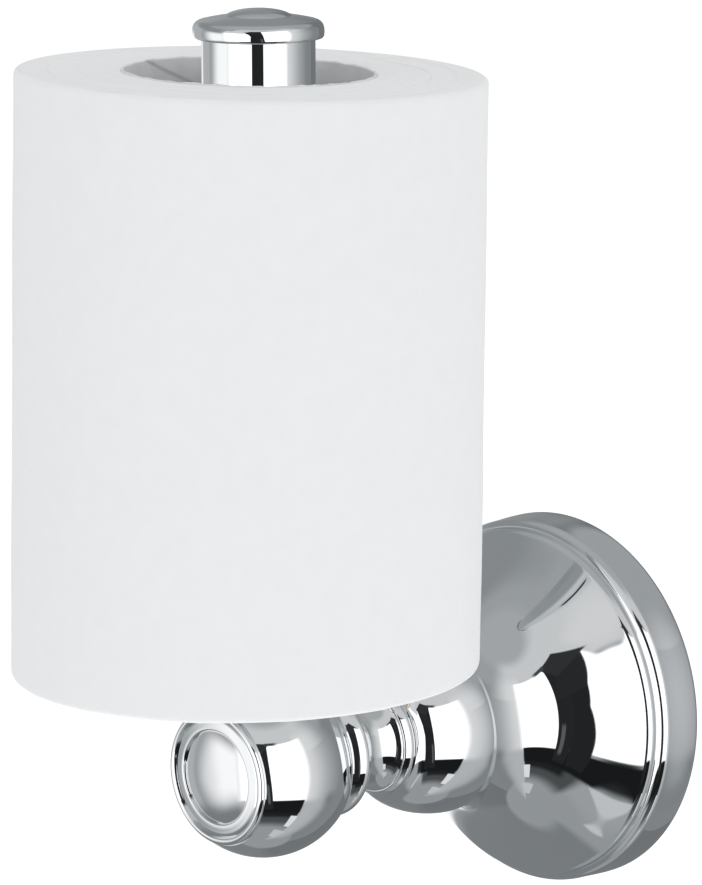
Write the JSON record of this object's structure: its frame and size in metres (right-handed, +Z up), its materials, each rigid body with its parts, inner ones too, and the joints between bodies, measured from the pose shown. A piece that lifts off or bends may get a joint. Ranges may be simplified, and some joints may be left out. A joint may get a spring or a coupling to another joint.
{
  "type": "spare toilet roll holder",
  "caption": "Wall-mounted storage holder for a toilet roll: bell-shaped flange, short turned arm with a ball, and an upright capped post that the roll stands over on a flat disc.",
  "frame": {"origin": "centre of the flange's back face, on the wall plane, midway between the two wall screw holes", "axes": "+Y points into the wall, so the arm runs along -Y; +Z is up along the post; +X is to the right when facing the wall"},
  "size_m": [0.083, 0.1217, 0.1717],
  "materials": {
    "chrome_plate": "bright polished chrome plate on brass",
    "zinc_plate": "zinc plated steel",
    "bush_brass": "turned brass",
    "seal_rubber": "matt black nitrile",
    "core_board": "plain grey cardboard",
    "tissue": "white tissue, lightly fibrous"
  },
  "bodies": {
    "holder": {"wall_plate": "zinc_plate", "grub_screw": "zinc_plate", "flange": "chrome_plate", "neck_collar": "chrome_plate", "bead_ring": "chrome_plate", "ball_body": "chrome_plate", "end_cap": "chrome_plate", "cap_seal": "seal_rubber", "arm_bolt": "zinc_plate", "arm_washer": "zinc_plate", "arm_nut": "zinc_plate", "rest_disc": "chrome_plate", "post_stud": "zinc_plate", "foot_bush": "bush_brass", "post_tube": "chrome_plate", "head_bush": "bush_brass", "post_cap": "chrome_plate"},
    "roll_inner": {"roll_core": "core_board"},
    "roll_outer": {"roll_paper": "tissue"}
  },
  "joints": [
    {"name": "roll_lift", "type": "slide", "parent": "holder", "child": "roll_inner", "axis": [0, 0, 1], "range_m": [0, 0.125]},
    {"name": "roll_spin", "type": "hinge", "parent": "roll_inner", "child": "roll_outer", "pos_m": [0, -0.0802, 0.0725], "axis": [0, 0, 1], "continuous": true}
  ]
}
